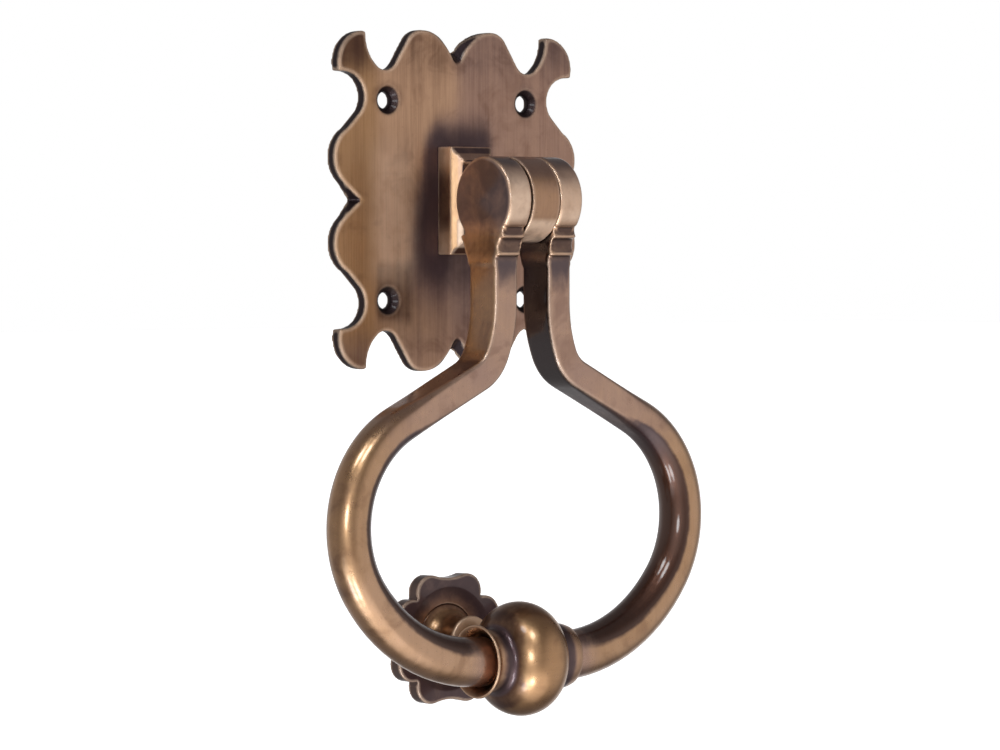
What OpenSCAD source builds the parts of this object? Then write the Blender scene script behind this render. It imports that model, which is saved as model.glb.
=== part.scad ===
// Ring door knocker: a scalloped backplate with a hinge block, a two-part bow
// that swings on a pin, a turned striker bead, and a separate strike for the door.
// Millimetres. +Z is up, -Y points away from the door, and the origin is the
// middle of the backplate's back face, on the door.

/* [Backplate] */
// Width over the side lobes
plate_w = 92.4; // [88:0.2:98]
// Height over the top and bottom lobes
plate_h = 100.8; // [96:0.2:108]
// Thickness of the plate
plate_t = 4; // [3:0.5:6]
// Distance between the screw holes, side to side
screw_dx = 52.8; // [48:0.2:56]
// Distance between the screw holes, up and down
screw_dz = 58.8; // [54:0.2:62]
// Diameter of the screw holes
screw_d = 4.8; // [4:0.1:5.4]
// Diameter of the countersinks
countersink_d = 8.8; // [8:0.1:10]

/* [Hinge block] */
// Distance of the pivot axis from the door
pivot_out = 32.2; // [30:0.1:36]
// Radius of the round knuckle
knuckle_r = 12.7; // [11:0.1:13.5]
// Thickness of the lug between the ears
lug_w = 10.2; // [8:0.2:11]
// Width of the square foot
foot_w = 15.6; // [15:0.2:18]
// Height of the square foot
foot_h = 32; // [30:0.5:36]
// Radius of the pivot pin
pin_r = 3; // [2:0.1:4]

/* [Bow] */
// Thickness of each ear
ear_w = 8.6; // [8:0.1:10]
// Radius of the round bar
bar_r = 6.6; // [5.5:0.1:7]
// Half the width of the ring, to the middle of the bar
ring_half_w = 63.4; // [62:0.2:66]
// Distance of the bead's middle below the pivot
bead_drop = 134.3; // [132:0.1:138]
// Radius of the bead's bulb
bulb_r = 16.8; // [15.5:0.1:17]

/* [Strike] */
// Sideways place of the strike on the door
strike_x = -4; // [-4:0.5:4]
// Distance of the strike's middle below the pivot
strike_drop = 130; // [126:0.5:134]
// Radius of the rosette over its lobes
rosette_r = 20.7; // [19:0.1:22]
// Height of the rosette's rim off the door
rosette_t = 4.7; // [4:0.1:6]
// Radius of the stud's face
stud_r = 7.4; // [6.5:0.1:8]

/* [Hidden] */
$fn = 96;
through = 1; // how far a cut runs past the face it opens

// Colours of the aged brass, from worn to dark
tan_brass = "#a07c58";
gold_brass = "#a5804a";
brown_brass = "#7d6450";
dark_brass = "#4a3a3a";

// Backplate: half sizes and the arcs of a quarter of its outline, each written as
// centre x, centre z, radius, first angle, last angle, from the top lobe to the side lobe
half_w = plate_w / 2;
half_h = plate_h / 2;
arc_step = 6; // degrees between points on an arc
quarter_arcs = [
    [13.4, half_h - 17, 17, 142, 90],                // inner flank of the top lobe
    [13.4, half_h - 6.2, 6.2, 90, 33],               // tip of the top lobe
    [half_w - 19, half_h - 7.4, 4.7, 215, 310],      // valley beside the top lobe
    [half_w - 23.7, half_h - 1.8, 12, -50, 0],       // upper side of the corner finial
    [half_w - 11, half_h - 10.3, 9.4, 93, -8],       // flared edge of the finial
    [half_w - 2.4, half_h - 28.8, 16, 88, 105],      // lower side of the finial
    [half_w - 4.2, half_h - 20.2, 7.1, 105, 225],    // valley beside the side lobe
    [half_w - 9.6, 12.6, 9.6, 62, -50]               // side lobe
];
// The notches between the lobes are filed from the front at a slant, so that each is
// deeper there than at the back: the arcs of one flank, and how far the notch moves
top_flank = [[13.4, half_h - 6.2, 6.2, 100, 108], [16.7, half_h - 16.5, 17, 109, 155]];
side_flank = [[half_w - 9.6, 12.6, 9.54, -12, -46]];
top_cusp = half_h - 10;
side_cusp = half_w - 10.1;
top_notch_rise = 3.8;
side_notch_rise = 2.6;

// Hinge block: the foot's straight sides, its bevel, and the lug
foot_t = 5.9;
bevel_t = 3;
bevel_h = 24;
lug_h = 23;
foot_y = -plate_t - foot_t;
bore_gap = 0.05; // running clearance round the pin

// Screws that hold the block from behind the plate
block_screw_dz = 20;
block_screw_r = 2;
block_screw_head_r = 3.8;
block_screw_head_t = 2.2;
block_screw_end = 13;
slot_w = 1;
slot_depth = 0.8;

// Ears beside the lug. The neck below each has two ridges in front, over two hollows, and
// a cove behind. Places are written as distance in front of the pivot and height
ear_gap = 0.3;
ear_x = lug_w / 2 + ear_gap;
pin_depth = 6.6; // depth of the pin in each ear
ridges = [[9.6, -11], [8, -16.2]]; // lower front corners
ridge_block_h = 8; // height of the block that each ridge is cut from
hollows = [[12.6, -9, 3.5], [11, -13.8, 3.6]]; // with the radius last
neck_back = 3.5; // how far the neck stands behind the arm
neck_cove_r = 22;
neck_cove_z = -24;
arm_head_z = -17.5; // where the arm leaves the neck

// Bow: square arms that lean out, and a ring of two arcs
arm_x = 10.15; // middle of the arm
arm_w = 8.5;
arm_t = 12.4;
arm_y = -pivot_out - 0.35;
arm_corner = 1;
shoulder_angle = 26.5; // fall of the shoulder, in degrees
side_arc_r = 33; // radius of the ring at its sides
low_arc_r = 50; // radius of the ring beside the bead
side_arc_x = ring_half_w - side_arc_r;
side_arc_z = -94;
low_arc_z = -bead_drop + low_arc_r;
low_arc_x = side_arc_x - sqrt(pow(low_arc_r - side_arc_r, 2) - pow(low_arc_z - side_arc_z, 2));
join_angle = atan2(side_arc_z - low_arc_z, side_arc_x - low_arc_x);
shoulder_end = [side_arc_x + side_arc_r * sin(shoulder_angle),
                side_arc_z + side_arc_r * cos(shoulder_angle)];
lean_r = 40;
lean_turn = 22;
bend_r = 12;
lean_end = [arm_x + lean_r * (1 - cos(lean_turn)), -lean_r * sin(lean_turn)];
bend_centre = lean_end + bend_r * [cos(lean_turn), sin(lean_turn)];
bend_end = bend_centre - bend_r * [sin(shoulder_angle), cos(shoulder_angle)];
lean_z = shoulder_end[1] + (shoulder_end[0] - bend_end[0]) * tan(shoulder_angle) - bend_end[1];
bend_lap = 2; // how far the bend turns back into the leaning part, in degrees
bend_inset = 0.1; // each stretch of the bar is this much thinner than the one above it
arm_top_z = -16;
seam_l = 0.8; // a thin collar covers each seam of the bar
seam_out = 0.03;

// Bead: a bulb between two necks, with a cup at each end for the bar
bulb_half_l = 9.2;
bulb_edge_r = 10.7;
bulb_arc_r = (pow(bulb_half_l, 2) + pow(bulb_r - bulb_edge_r, 2)) / (2 * (bulb_r - bulb_edge_r));
bulb_edge_angle = asin(bulb_half_l / bulb_arc_r);
cove_r = 2; // cove between the bulb and the neck, and where it ends
cove_x = 11.2;
neck_r = 9.2;
flare_r = 4.2; // flare from the neck to the rim, and where it begins
flare_x = 13.6;
rim_r = 10.75;
rim_edge = 0.25;
rim_w = 0.8;
bead_half_l = 16.9;
mouth_r = 10; // the cup narrows from its mouth to the bar's end
mouth_l = 2.3;
cup_r = 8.3;
cup_x = 13.5;
dowel_r = 4;
dowel_half_l = 22.4;
lock_pin_r = 1;
lock_pin_x = 18.4;
lock_pin_l = 10.6;
lock_pin_inset = 0.25;

// Strike: the stud stops the bulb a hair before it touches
strike_gap = 0.3;
stud_face_y = -pivot_out + bulb_r + strike_gap;
lobe_r = 5.4;
lobe_angle = 18.6; // lobes stand this far on each side of a diagonal
valley_out = 18.1; // the hollow in each side: its place, radius and width
valley_r = 18;
valley_w = 13.6;
valley_rise = 0.8;
dish_depth = 2.3;
dish_r = 15.5;
dish_ball_r = (pow(dish_r, 2) + pow(dish_depth, 2)) / (2 * dish_depth);
seat_y = -rosette_t + dish_depth;
stud_foot_r = 10;
stud_spigot_r = 4;
stud_neck_r = 6.3;
stud_bolt_r = 2.1;
stud_bolt_depth = 10;
stud_foot_t = 1;
stud_flare_r = 5.2;
stud_head_t = 2.4; // of the face's straight rim
stud_edge = 0.6; // chamfer of the face
seat_gap = 0.3; // clearance round the stud's foot

// Points of an arc in steps of arc_step, from angle a0 to angle a1
function arc(cx, cy, r, a0, a1) =
    let (n = ceil(abs(a1 - a0) / arc_step))
    [for (i = [0:n]) let (a = a0 + (a1 - a0) * i / n) [cx + r * cos(a), cy + r * sin(a)]];

function reversed(list) = [for (i = [len(list) - 1:-1:0]) list[i]];

function arcs(list) = [for (a = list) each arc(a[0], a[1], a[2], a[3], a[4])];

// The backplate before its notches are filed
quarter = concat([[0, top_cusp + top_notch_rise]], arcs(quarter_arcs),
                 [[side_cusp + side_notch_rise, 0]]);
lower = [for (i = [len(quarter) - 2:-1:0]) [quarter[i][0], -quarter[i][1]]];
half = concat(quarter, lower);
left_half = [for (i = [len(half) - 2:-1:1]) [-half[i][0], half[i][1]]];

// Turns a shape drawn along +Z so that it runs away from the door, along -Y
module off_door() rotate([90, 0, 0]) children();

// A cylinder along X between two places
module rod_x(x0, x1, r) translate([x0, 0, 0]) rotate([0, 90, 0]) cylinder(h = x1 - x0, r = r);

// A rectangle with cut corners, centred
module cut_rectangle(w, h, c) {
    polygon([[w / 2 - c, -h / 2], [w / 2, -h / 2 + c], [w / 2, h / 2 - c], [w / 2 - c, h / 2],
             [-w / 2 + c, h / 2], [-w / 2, h / 2 - c], [-w / 2, -h / 2 + c], [-w / 2 + c, -h / 2]]);
}

// Sweeps a flat shape along an arc in the plane of the ring
module ring_arc(x, y, z, r, a0, a1) {
    translate([x, y, z]) off_door() rotate([0, 0, a0])
        rotate_extrude(angle = a1 - a0) translate([r, 0]) children();
}

// One countersunk hole through the plate, opening at the front
module plate_screw_hole() {
    sink_t = (countersink_d - screw_d) / 2;
    off_door() translate([0, 0, -through]) cylinder(h = plate_t + 2 * through, d = screw_d);
    translate([0, -plate_t + sink_t, 0]) off_door()
        cylinder(h = sink_t + 0.01, d1 = screw_d, d2 = countersink_d);
}

// The space of one countersunk screw from behind, or the screw itself
module block_screw(r) {
    off_door() {
        cylinder(h = block_screw_head_t, r1 = block_screw_head_r, r2 = block_screw_r);
        cylinder(h = block_screw_end, r = r);
    }
}

// The cut of a slanted file that opens outward along +Y of its flat shape. flank runs
// from a lobe's tip to the cusp, as distance to one side and distance from the middle
module notch_file(flank, cusp, rise) {
    slant = atan(rise / plate_t);
    side = [for (p = flank) [p[0], (p[1] - cusp) * cos(slant)]];
    other = [for (p = reversed(side)) [-p[0], p[1]]];
    clear = 12;
    reach = 30;
    translate([0, -plate_t, cusp]) rotate([90 + slant, 0, 0])
        translate([0, 0, -reach]) linear_extrude(2 * reach)
            polygon(concat([[side[0][0], clear]], side, [[0, 0]], other, [[-side[0][0], clear]]));
}

module backplate() color(tan_brass) difference() {
    off_door() linear_extrude(plate_t) polygon(concat(half, left_half));
    for (x = [-1, 1], z = [-1, 1])
        translate([x * screw_dx / 2, 0, z * screw_dz / 2]) plate_screw_hole();
    for (z = [-1, 1]) translate([0, 0, z * block_screw_dz / 2]) block_screw(block_screw_r);
    for (turn = [0, 180]) rotate([0, turn, 0]) {
        notch_file(arcs(top_flank), top_cusp, top_notch_rise);
        rotate([0, 90, 0])
            notch_file([for (p = arcs(side_flank)) [p[1], p[0]]], side_cusp, side_notch_rise);
    }
}

// Foot with straight sides and a bevel that narrows to the lug
module block_foot() {
    intersection() {
        translate([0, 0, -foot_h / 2]) linear_extrude(foot_h)
            polygon([[-foot_w / 2, -plate_t], [-foot_w / 2, foot_y], [-lug_w / 2, foot_y - bevel_t],
                     [lug_w / 2, foot_y - bevel_t], [foot_w / 2, foot_y], [foot_w / 2, -plate_t]]);
        translate([-foot_w / 2, 0, 0]) rotate([0, 90, 0]) rotate([0, 0, 90]) linear_extrude(foot_w)
            polygon([[-plate_t, -foot_h / 2], [foot_y, -foot_h / 2], [foot_y - bevel_t, -bevel_h / 2],
                     [foot_y - bevel_t, bevel_h / 2], [foot_y, foot_h / 2], [-plate_t, foot_h / 2]]);
    }
}

module hinge_block() color(brown_brass) difference() {
    union() {
        block_foot();
        translate([-lug_w / 2, -pivot_out, -lug_h / 2]) cube([lug_w, pivot_out + foot_y, lug_h]);
        translate([0, -pivot_out, 0]) rod_x(-lug_w / 2, lug_w / 2, knuckle_r);
    }
    translate([0, -pivot_out, 0]) rod_x(-lug_w, lug_w, pin_r + bore_gap);
    for (z = [-1, 1]) translate([0, 0, z * block_screw_dz / 2]) block_screw(block_screw_r);
}

module block_screw_at(side) color("silver") difference() {
    translate([0, 0, side * block_screw_dz / 2]) block_screw(block_screw_r);
    translate([-block_screw_head_r, -slot_depth, (side * block_screw_dz - slot_w) / 2])
        cube([2 * block_screw_head_r, slot_depth + through, slot_w]);
}

module pivot_pin() color("silver") {
    pin_half_l = ear_x + pin_depth;
    translate([0, -pivot_out, 0]) rod_x(-pin_half_l, pin_half_l, pin_r);
}

// Side view of an ear and its neck, drawn as distance in front of the pivot and height
module ear_profile() {
    arm_front = -pivot_out - arm_y + arm_t / 2;
    arm_back = arm_front - arm_t;
    neck_x = arm_back - neck_back;
    difference() {
        union() {
            circle(r = knuckle_r);
            for (p = ridges) translate([neck_x, p[1]]) square([p[0] - neck_x, ridge_block_h]);
            translate([arm_back, arm_head_z]) square([arm_t, ridge_block_h]);
        }
        translate([arm_back - neck_cove_r, neck_cove_z]) circle(r = neck_cove_r);
        for (h = hollows) translate([h[0], h[1]]) circle(r = h[2]);
    }
}

// A thin collar over a seam of the bar, square to its run
module seam(x, z, angle) {
    translate([x, -pivot_out, z]) rotate([0, -angle, 0])
        rod_x(-seam_l / 2, seam_l / 2, bar_r + seam_out);
}

module ring_bar() {
    ring_arc(side_arc_x, -pivot_out, side_arc_z, side_arc_r, join_angle, 90 - shoulder_angle)
        circle(r = bar_r);
    ring_arc(low_arc_x, -pivot_out, low_arc_z, low_arc_r, -90, join_angle) circle(r = bar_r);
    translate([0, -pivot_out, -bead_drop]) rod_x(cup_x, low_arc_x, bar_r);
    seam(low_arc_x, -bead_drop, 0);
    seam(low_arc_x + low_arc_r * cos(join_angle), low_arc_z + low_arc_r * sin(join_angle),
         join_angle + 90);
    seam(shoulder_end[0], shoulder_end[1], -shoulder_angle);
}

// The shoulder changes from the arm's square section to the round bar
module shoulder() {
    slice = 0.1;
    lap = 0.4; // how far it runs into the bend and the ring
    inset = 2 * bend_inset;
    hull() {
        translate([bend_end[0], arm_y, lean_z + bend_end[1]]) rotate([0, 90 + shoulder_angle, 0])
            translate([0, 0, -lap]) linear_extrude(slice)
                cut_rectangle(arm_w - inset, arm_t - inset, arm_corner);
        translate([shoulder_end[0], -pivot_out, shoulder_end[1]])
            rotate([0, 90 + shoulder_angle, 0]) cylinder(h = slice, r = bar_r, $fn = 32);
    }
}

// The right half of the bow
module bow_half() {
    difference() {
        union() {
            translate([ear_x, -pivot_out, 0]) rotate([90, 0, 90]) linear_extrude(ear_w)
                mirror([1, 0, 0]) ear_profile();
            translate([arm_x, arm_y, lean_z]) linear_extrude(arm_top_z - lean_z)
                cut_rectangle(arm_w, arm_t, arm_corner);
            ring_arc(arm_x + lean_r, arm_y, lean_z, lean_r, 180, 180 + lean_turn)
                cut_rectangle(arm_w, arm_t, arm_corner);
            ring_arc(bend_centre[0], arm_y, lean_z + bend_centre[1], bend_r,
                     180 + lean_turn - bend_lap, 270 - shoulder_angle)
                cut_rectangle(arm_w - bend_inset, arm_t - bend_inset, arm_corner);
            shoulder();
            ring_bar();
        }
        translate([0, -pivot_out, 0]) rod_x(0, ear_x + pin_depth, pin_r);
        translate([0, -pivot_out, -bead_drop]) rod_x(0, dowel_half_l, dowel_r);
        lock_pin_hole();
    }
}

module lock_pin_hole() {
    translate([lock_pin_x, -pivot_out + bar_r + through, -bead_drop]) off_door()
        cylinder(h = lock_pin_l + lock_pin_inset + through, r = lock_pin_r);
}

module bow_left() color(tan_brass) mirror([1, 0, 0]) bow_half();

module bow_right() color(tan_brass) bow_half();

// Half of the bead's outline, as distance from its middle and radius
bead_outline = concat(
    arc(0, bulb_r - bulb_arc_r, bulb_arc_r, 90, 90 - bulb_edge_angle),
    arc(cove_x, neck_r + cove_r, cove_r, 200, 270),
    arc(flare_x, neck_r + flare_r, flare_r, 270, 300),
    [[bead_half_l - rim_w, rim_r - rim_edge], [bead_half_l - rim_w / 2, rim_r],
     [bead_half_l, rim_r - rim_edge], [bead_half_l, mouth_r], [bead_half_l - mouth_l, cup_r],
     [cup_x, cup_r]]);

module half_bead() {
    rotate([0, 90, 0]) rotate_extrude()
        polygon(concat([[0, 0]], [for (p = bead_outline) [p[1], p[0]]], [[0, cup_x]]));
}

module striker_bead() color(gold_brass) translate([0, -pivot_out, -bead_drop]) difference() {
    union() {
        half_bead();
        mirror([1, 0, 0]) half_bead();
    }
    rod_x(-bead_half_l, bead_half_l, dowel_r);
}

module bead_dowel() color("silver") difference() {
    translate([0, -pivot_out, -bead_drop]) rod_x(-dowel_half_l, dowel_half_l, dowel_r);
    lock_pin_hole();
    mirror([1, 0, 0]) lock_pin_hole();
}

module lock_pin_at(side) color("silver") {
    translate([side * lock_pin_x, -pivot_out + bar_r - lock_pin_inset, -bead_drop]) off_door()
        cylinder(h = lock_pin_l, r = lock_pin_r);
}

// Outline of the rosette: four sides, each with a shallow hollow between two lobes
module rosette_outline() {
    reach = rosette_r - lobe_r;
    circle(r = reach);
    for (k = [0:3], s = [-1, 1]) rotate([0, 0, 45 + 90 * k + s * lobe_angle])
        translate([reach, 0]) circle(r = lobe_r);
    for (k = [0:3]) rotate([0, 0, 90 * k]) difference() {
        translate([-valley_w / 2, 0]) square([valley_w, valley_out + valley_rise]);
        translate([0, valley_out + valley_r]) circle(r = valley_r);
    }
}

module strike_rosette() color(dark_brass) translate([strike_x, 0, -strike_drop]) difference() {
    off_door() linear_extrude(rosette_t) rosette_outline();
    translate([0, -rosette_t - dish_ball_r + dish_depth, 0]) sphere(r = dish_ball_r, $fn = 200);
    translate([0, seat_y, 0]) off_door() cylinder(h = rosette_t, r = stud_foot_r + seat_gap);
    translate([0, through, 0]) off_door() cylinder(h = rosette_t + through, r = stud_spigot_r);
}

// A turned stud that flares out to its foot, with a threaded hole in its back
module strike_stud() color(gold_brass) translate([strike_x, 0, -strike_drop]) {
    h = -stud_face_y;
    foot = -seat_y;
    off_door() rotate_extrude() polygon(concat(
        [[0, stud_bolt_depth], [stud_bolt_r, stud_bolt_depth], [stud_bolt_r, 0],
         [stud_spigot_r, 0], [stud_spigot_r, foot], [stud_foot_r, foot]],
        arc(stud_neck_r + stud_flare_r, foot + stud_foot_t + stud_flare_r, stud_flare_r, 253, 180),
        [[stud_r, h - stud_head_t], [stud_r, h - stud_edge], [stud_r - stud_edge, h], [0, h]]));
}

backplate();
hinge_block();
block_screw_at(1);  // block_screw_upper
block_screw_at(-1);  // block_screw_lower
pivot_pin();
bow_left();
bow_right();
striker_bead();
bead_dowel();
lock_pin_at(-1);  // lock_pin_left
lock_pin_at(1);  // lock_pin_right
strike_rosette();
strike_stud();
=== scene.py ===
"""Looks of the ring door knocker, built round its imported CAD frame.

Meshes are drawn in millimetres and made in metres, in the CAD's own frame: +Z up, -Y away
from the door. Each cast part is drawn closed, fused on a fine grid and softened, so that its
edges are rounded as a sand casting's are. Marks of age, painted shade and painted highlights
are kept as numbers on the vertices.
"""

import math

import bmesh
import bpy
import numpy as np
from mathutils import Matrix, Vector


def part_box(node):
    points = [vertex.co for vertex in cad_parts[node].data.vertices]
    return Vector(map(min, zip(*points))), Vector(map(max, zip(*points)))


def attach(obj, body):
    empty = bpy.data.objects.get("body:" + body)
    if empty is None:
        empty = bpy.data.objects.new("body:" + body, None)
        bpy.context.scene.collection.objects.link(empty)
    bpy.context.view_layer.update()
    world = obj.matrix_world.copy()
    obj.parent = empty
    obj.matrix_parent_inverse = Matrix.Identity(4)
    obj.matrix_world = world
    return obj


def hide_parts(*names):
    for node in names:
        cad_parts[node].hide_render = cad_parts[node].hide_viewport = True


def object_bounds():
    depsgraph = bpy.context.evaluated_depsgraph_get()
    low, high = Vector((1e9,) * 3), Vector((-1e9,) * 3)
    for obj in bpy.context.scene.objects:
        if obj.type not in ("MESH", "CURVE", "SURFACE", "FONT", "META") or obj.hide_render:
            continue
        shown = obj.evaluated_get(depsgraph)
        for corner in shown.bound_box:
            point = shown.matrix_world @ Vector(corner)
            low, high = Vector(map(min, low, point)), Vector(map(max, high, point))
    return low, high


MM = 0.001

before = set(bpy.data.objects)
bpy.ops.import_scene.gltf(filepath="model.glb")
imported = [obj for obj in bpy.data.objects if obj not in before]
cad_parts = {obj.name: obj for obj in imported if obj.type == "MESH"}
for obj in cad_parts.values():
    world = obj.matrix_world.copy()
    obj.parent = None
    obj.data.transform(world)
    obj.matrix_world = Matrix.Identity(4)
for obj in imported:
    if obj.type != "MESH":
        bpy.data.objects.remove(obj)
cad_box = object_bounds()

# ---------------------------------------------------------------- measures from the frame


def box_mm(node):
    """Lowest and highest corner of a CAD node, in millimetres."""
    low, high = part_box(node)
    return np.array(low) / MM, np.array(high) / MM


pin_low, pin_high = box_mm("pivot_pin")
lock_low, lock_high = box_mm("lock_pin_right")
bow_low, bow_high = box_mm("bow_right")
bead_low, bead_high = box_mm("striker_bead")
dowel_low, dowel_high = box_mm("bead_dowel")
stud_low, stud_high = box_mm("strike_stud")
_, block_high = box_mm("hinge_block")

PIVOT_Y = (pin_low[1] + pin_high[1]) / 2
PIN_R = (pin_high[2] - pin_low[2]) / 2
PIN_END = pin_high[0]
KNUCKLE_R = bow_high[2]
EAR_X = bow_low[0]
BEAD_Z = (bead_low[2] + bead_high[2]) / 2
BULB_R = (bead_high[2] - bead_low[2]) / 2
BEAD_HALF_L = bead_high[0]
DOWEL_R = (dowel_high[2] - dowel_low[2]) / 2
DOWEL_HALF_L = dowel_high[0]
LOCK_X = (lock_low[0] + lock_high[0]) / 2
LOCK_R = (lock_high[0] - lock_low[0]) / 2
LOCK_END = -lock_low[1]
STUD_X = (stud_low[0] + stud_high[0]) / 2
STUD_Z = (stud_low[2] + stud_high[2]) / 2
STUD_H = -stud_low[1]
FOOT_HALF_W = block_high[0]

# Half the height of the block's foot, and how far from the door its lug starts
FOOT_HALF_H = 16.0
LUG_ROOT = 11.0
# The plate's screw holes, at both signs of x and z, and the radius of their countersinks
HOLE_X, HOLE_Z = 26.4, 29.4
SINK_R = 4.4

# ---------------------------------------------------------------- mesh helpers


def new_object(name, verts_mm, faces):
    """A smooth-shaded mesh object from points in millimetres."""
    mesh = bpy.data.meshes.new(name)
    mesh.from_pydata([tuple(v) for v in np.asarray(verts_mm, float) * MM], [], faces)
    mesh.update()
    obj = bpy.data.objects.new(name, mesh)
    bpy.context.scene.collection.objects.link(obj)
    shade_smooth(obj)
    return obj


def shade_smooth(obj):
    """Shades every face of an object smooth."""
    obj.data.polygons.foreach_set("use_smooth", np.ones(len(obj.data.polygons), bool))
    obj.data.update()


def repaired(obj):
    """Joins doubled points, and turns all faces outward."""
    bm = bmesh.new()
    bm.from_mesh(obj.data)
    bmesh.ops.remove_doubles(bm, verts=bm.verts, dist=1e-6)
    bmesh.ops.recalc_face_normals(bm, faces=bm.faces)
    bm.to_mesh(obj.data)
    bm.free()
    obj.data.update()
    return obj


def cad_copy(node, name):
    """A free copy of a CAD node's mesh."""
    obj = bpy.data.objects.new(name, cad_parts[node].data.copy())
    obj.data.materials.clear()
    bpy.context.scene.collection.objects.link(obj)
    return repaired(obj)


def applied(obj):
    """Puts the result of an object's modifiers into its mesh."""
    graph = bpy.context.evaluated_depsgraph_get()
    made = bpy.data.meshes.new_from_object(obj.evaluated_get(graph))
    old = obj.data
    obj.modifiers.clear()
    obj.data = made
    made.name = obj.name
    bpy.data.meshes.remove(old)
    return obj


def joined(name, parts):
    """One object from several, with their shells side by side."""
    bm = bmesh.new()
    for part in parts:
        bm.from_mesh(part.data)
        bpy.data.objects.remove(part)
    mesh = bpy.data.meshes.new(name)
    bm.to_mesh(mesh)
    bm.free()
    obj = bpy.data.objects.new(name, mesh)
    bpy.context.scene.collection.objects.link(obj)
    return obj


def fused(obj, voxel_mm, rounds):
    """Fuses an object's shells into one skin, and rounds its edges."""
    grid = obj.modifiers.new("grid", "REMESH")
    grid.mode = "VOXEL"
    grid.voxel_size = voxel_mm * MM
    grid.use_smooth_shade = True
    soften = obj.modifiers.new("soften", "SMOOTH")
    soften.factor = 0.5
    soften.iterations = rounds
    applied(obj)
    shade_smooth(obj)
    return obj


def cut(obj, cutter):
    """Cuts a closed object with another."""
    saw = obj.modifiers.new("cut", "BOOLEAN")
    saw.operation = "DIFFERENCE"
    saw.solver = "EXACT"
    saw.object = cutter
    applied(obj)
    bpy.data.objects.remove(cutter)
    return obj


def lathe(name, profile, segments, centre, axis):
    """Turns a profile of (distance along the axis, radius) round an axis, "X" or "Y"."""
    turn = np.linspace(0, 2 * math.pi, segments, endpoint=False)
    rings, verts = [], []
    for along, radius in profile:
        if radius < 1e-6:
            rings.append([len(verts)] * segments)
            verts.append((along, 0.0, 0.0))
            continue
        rings.append(list(range(len(verts), len(verts) + segments)))
        verts += [(along, radius * math.cos(a), radius * math.sin(a)) for a in turn]
    faces = []
    for low, high in zip(rings, rings[1:]):
        for i in range(segments):
            j = (i + 1) % segments
            corner = [low[i], low[j], high[j], high[i]]
            face = [v for k, v in enumerate(corner) if v != corner[k - 1]]
            if len(face) > 2:
                faces.append(face)
    verts = np.array(verts)
    if axis == "Y":
        verts = verts[:, [1, 0, 2]] * (1, -1, 1)
    return repaired(new_object(name, verts + np.array(centre), faces))


def bore(radius, start, end, segments, centre, axis):
    """A cutter for a round hole that runs from start to end along its axis."""
    profile = [(start, 0), (start, radius), (end, radius), (end, 0)]
    return lathe("bore", profile, segments, centre, axis)


def skinned(name, rings):
    """A closed object drawn over a row of rings with equal counts of points."""
    count = len(rings[0])
    faces = []
    for k in range(len(rings) - 1):
        low, high = k * count, (k + 1) * count
        for i in range(count):
            j = (i + 1) % count
            faces.append([low + i, low + j, high + j, high + i])
    last = (len(rings) - 1) * count
    faces.append(list(range(count)))
    faces.append([last + i for i in range(count)])
    return repaired(new_object(name, np.vstack(rings), faces))


def arc(cx, cy, r, start, end, step=4.0):
    """Points of an arc, with angles in degrees."""
    count = max(2, int(math.ceil(abs(end - start) / step)) + 1)
    a = np.radians(np.linspace(start, end, count))
    return np.column_stack([cx + r * np.cos(a), cy + r * np.sin(a)])


def run_along(points):
    """Distance of each point from the first, measured along the line they make."""
    return np.concatenate([[0], np.cumsum(np.linalg.norm(np.diff(points, axis=0), axis=1))])


def headings(points):
    """Direction of the line at each of its points."""
    heading = np.gradient(points, axis=0)
    return heading / np.linalg.norm(heading, axis=1)[:, None]


def averaged(values, count):
    """Each value averaged with its neighbours, an odd count of them in all."""
    padded = np.pad(values, count // 2, mode="edge")
    return np.convolve(padded, np.ones(count) / count, mode="valid")


def resampled(points, spacing, closed=False):
    """Points at an even spacing along a line of straight pieces."""
    points = np.asarray(points, float)
    if closed:
        points = np.vstack([points, points[:1]])
    steps = np.linalg.norm(np.diff(points, axis=0), axis=1)
    keep = np.concatenate([[True], steps > 1e-9])
    points = points[keep]
    run = run_along(points)
    count = int(round(run[-1] / spacing)) + 1
    at = np.linspace(0, run[-1], count)
    out = np.column_stack([np.interp(at, run, points[:, k]) for k in range(points.shape[1])])
    return out[:-1] if closed else out


def smoothstep(x, low, high):
    """0 up to the low value and 1 from the high one, with a soft rise between them."""
    t = np.clip((np.asarray(x, float) - low) / (high - low), 0, 1)
    return t * t * (3 - 2 * t)


# ---------------------------------------------------------------- bow

# The upright arm: its middle, half its width and thickness, its corners' radius and its top
ARM_X, ARM_Y = 10.15, PIVOT_Y - 0.35
ARM_HALF_W, ARM_HALF_T, ARM_CORNER = 4.25, 6.2, 0.9
ARM_TOP = -12.0
# The arm leans outward on a wide arc, then bends into a straight shoulder that falls to the ring
LEAN_R, LEAN = 40.0, math.radians(22)
FALL = math.radians(26.5)
BEND_R, BEND = 12.0, math.pi / 2 - FALL
# The ring's arc at the side runs at the join's angle into a wider one below it
SIDE_R, SIDE_X, SIDE_Z = 33.0, 30.4, -94.0
LOW_R = 50.0
LOW_Z = BEAD_Z + LOW_R
LOW_X = SIDE_X - math.sqrt((LOW_R - SIDE_R) ** 2 - (LOW_Z - SIDE_Z) ** 2)
JOIN = math.degrees(math.atan2(SIDE_Z - LOW_Z, SIDE_X - LOW_X))
# The floor of the bead's cup, where the bar ends
CUP_X = 13.5


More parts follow.
